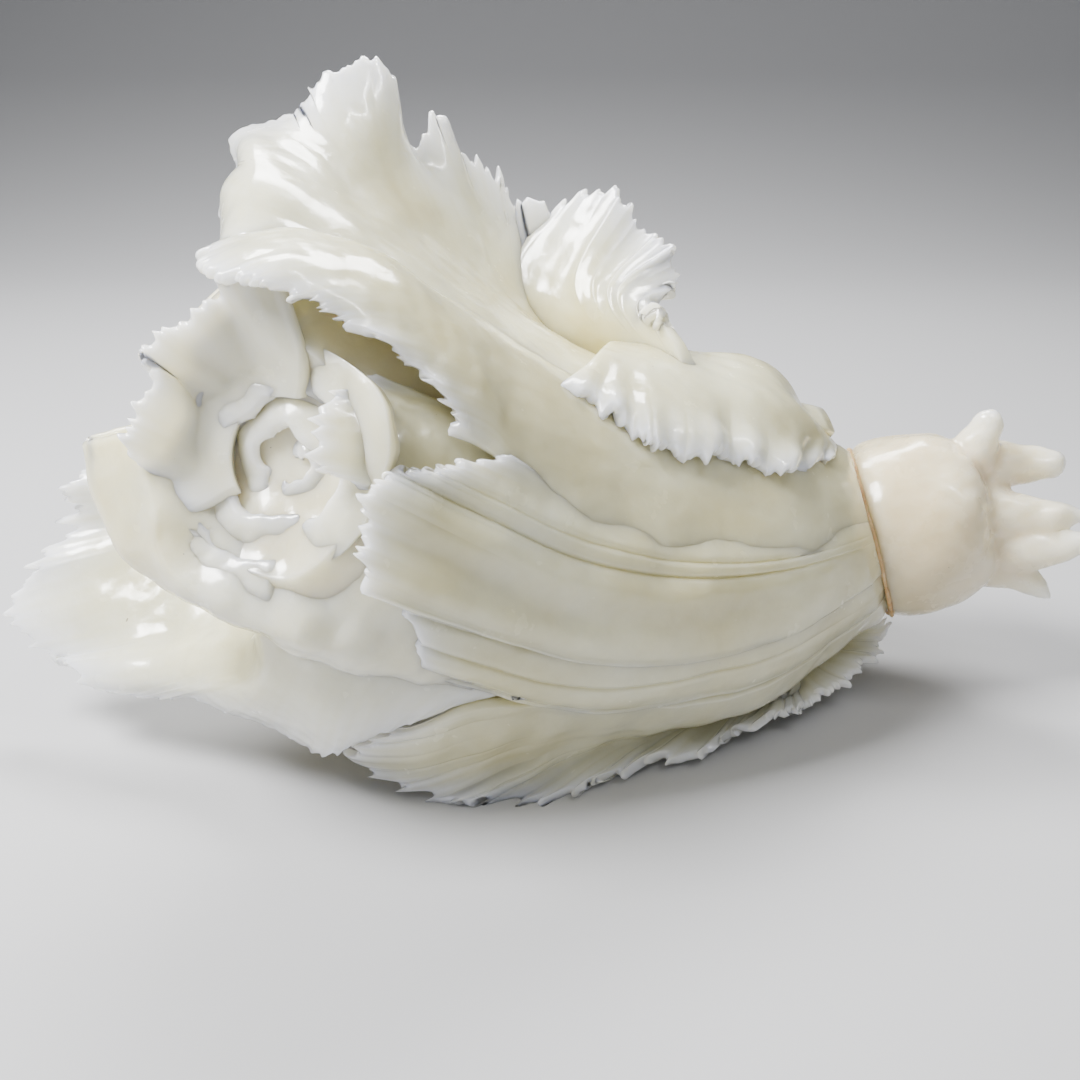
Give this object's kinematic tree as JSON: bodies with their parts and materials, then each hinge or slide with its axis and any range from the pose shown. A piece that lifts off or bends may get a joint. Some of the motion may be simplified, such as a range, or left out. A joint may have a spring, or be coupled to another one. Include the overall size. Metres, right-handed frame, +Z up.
{
  "type": "carved jade cabbage figurine",
  "caption": "Carved jade napa cabbage lying on its side, with frilled leaves, a crumpled heart and a glued-on root.",
  "frame": {"origin": "on the table, under the middle of the object's bounding box", "axes": "+X from the heart to the root along the cabbage, -Y the front with the open heart, +Z up"},
  "size_m": [0.2089, 0.0943, 0.1184],
  "materials": {
    "leaf_jade": "polished, translucent at the thin edges",
    "heart_jade": "polished, warmer and cloudier",
    "root_jade": "polished",
    "adhesive": "cured amber adhesive"
  },
  "bodies": {
    "root": {"head_core": "heart_jade", "front_leaf": "leaf_jade", "front_under_leaf": "leaf_jade", "lower_front_leaf": "leaf_jade", "lower_right_leaf": "leaf_jade", "lower_left_leaf": "leaf_jade", "upper_wrap_leaf": "leaf_jade", "tall_back_leaf": "leaf_jade", "small_back_leaf": "leaf_jade", "curled_back_leaf": "leaf_jade", "shoulder_leaf": "leaf_jade", "mid_leaf": "leaf_jade", "upper_back_leaf": "leaf_jade", "middle_back_leaf": "leaf_jade", "lower_back_leaf": "leaf_jade", "heart_bowl_leaf": "heart_jade", "heart_upper_leaf": "heart_jade", "heart_left_leaf": "heart_jade", "heart_ring_leaf": "heart_jade", "heart_right_leaf": "heart_jade", "heart_inner_leaf": "heart_jade", "heart_bud": "heart_jade", "root_stump": "root_jade", "glue_line": "adhesive"}
  },
  "joints": []
}
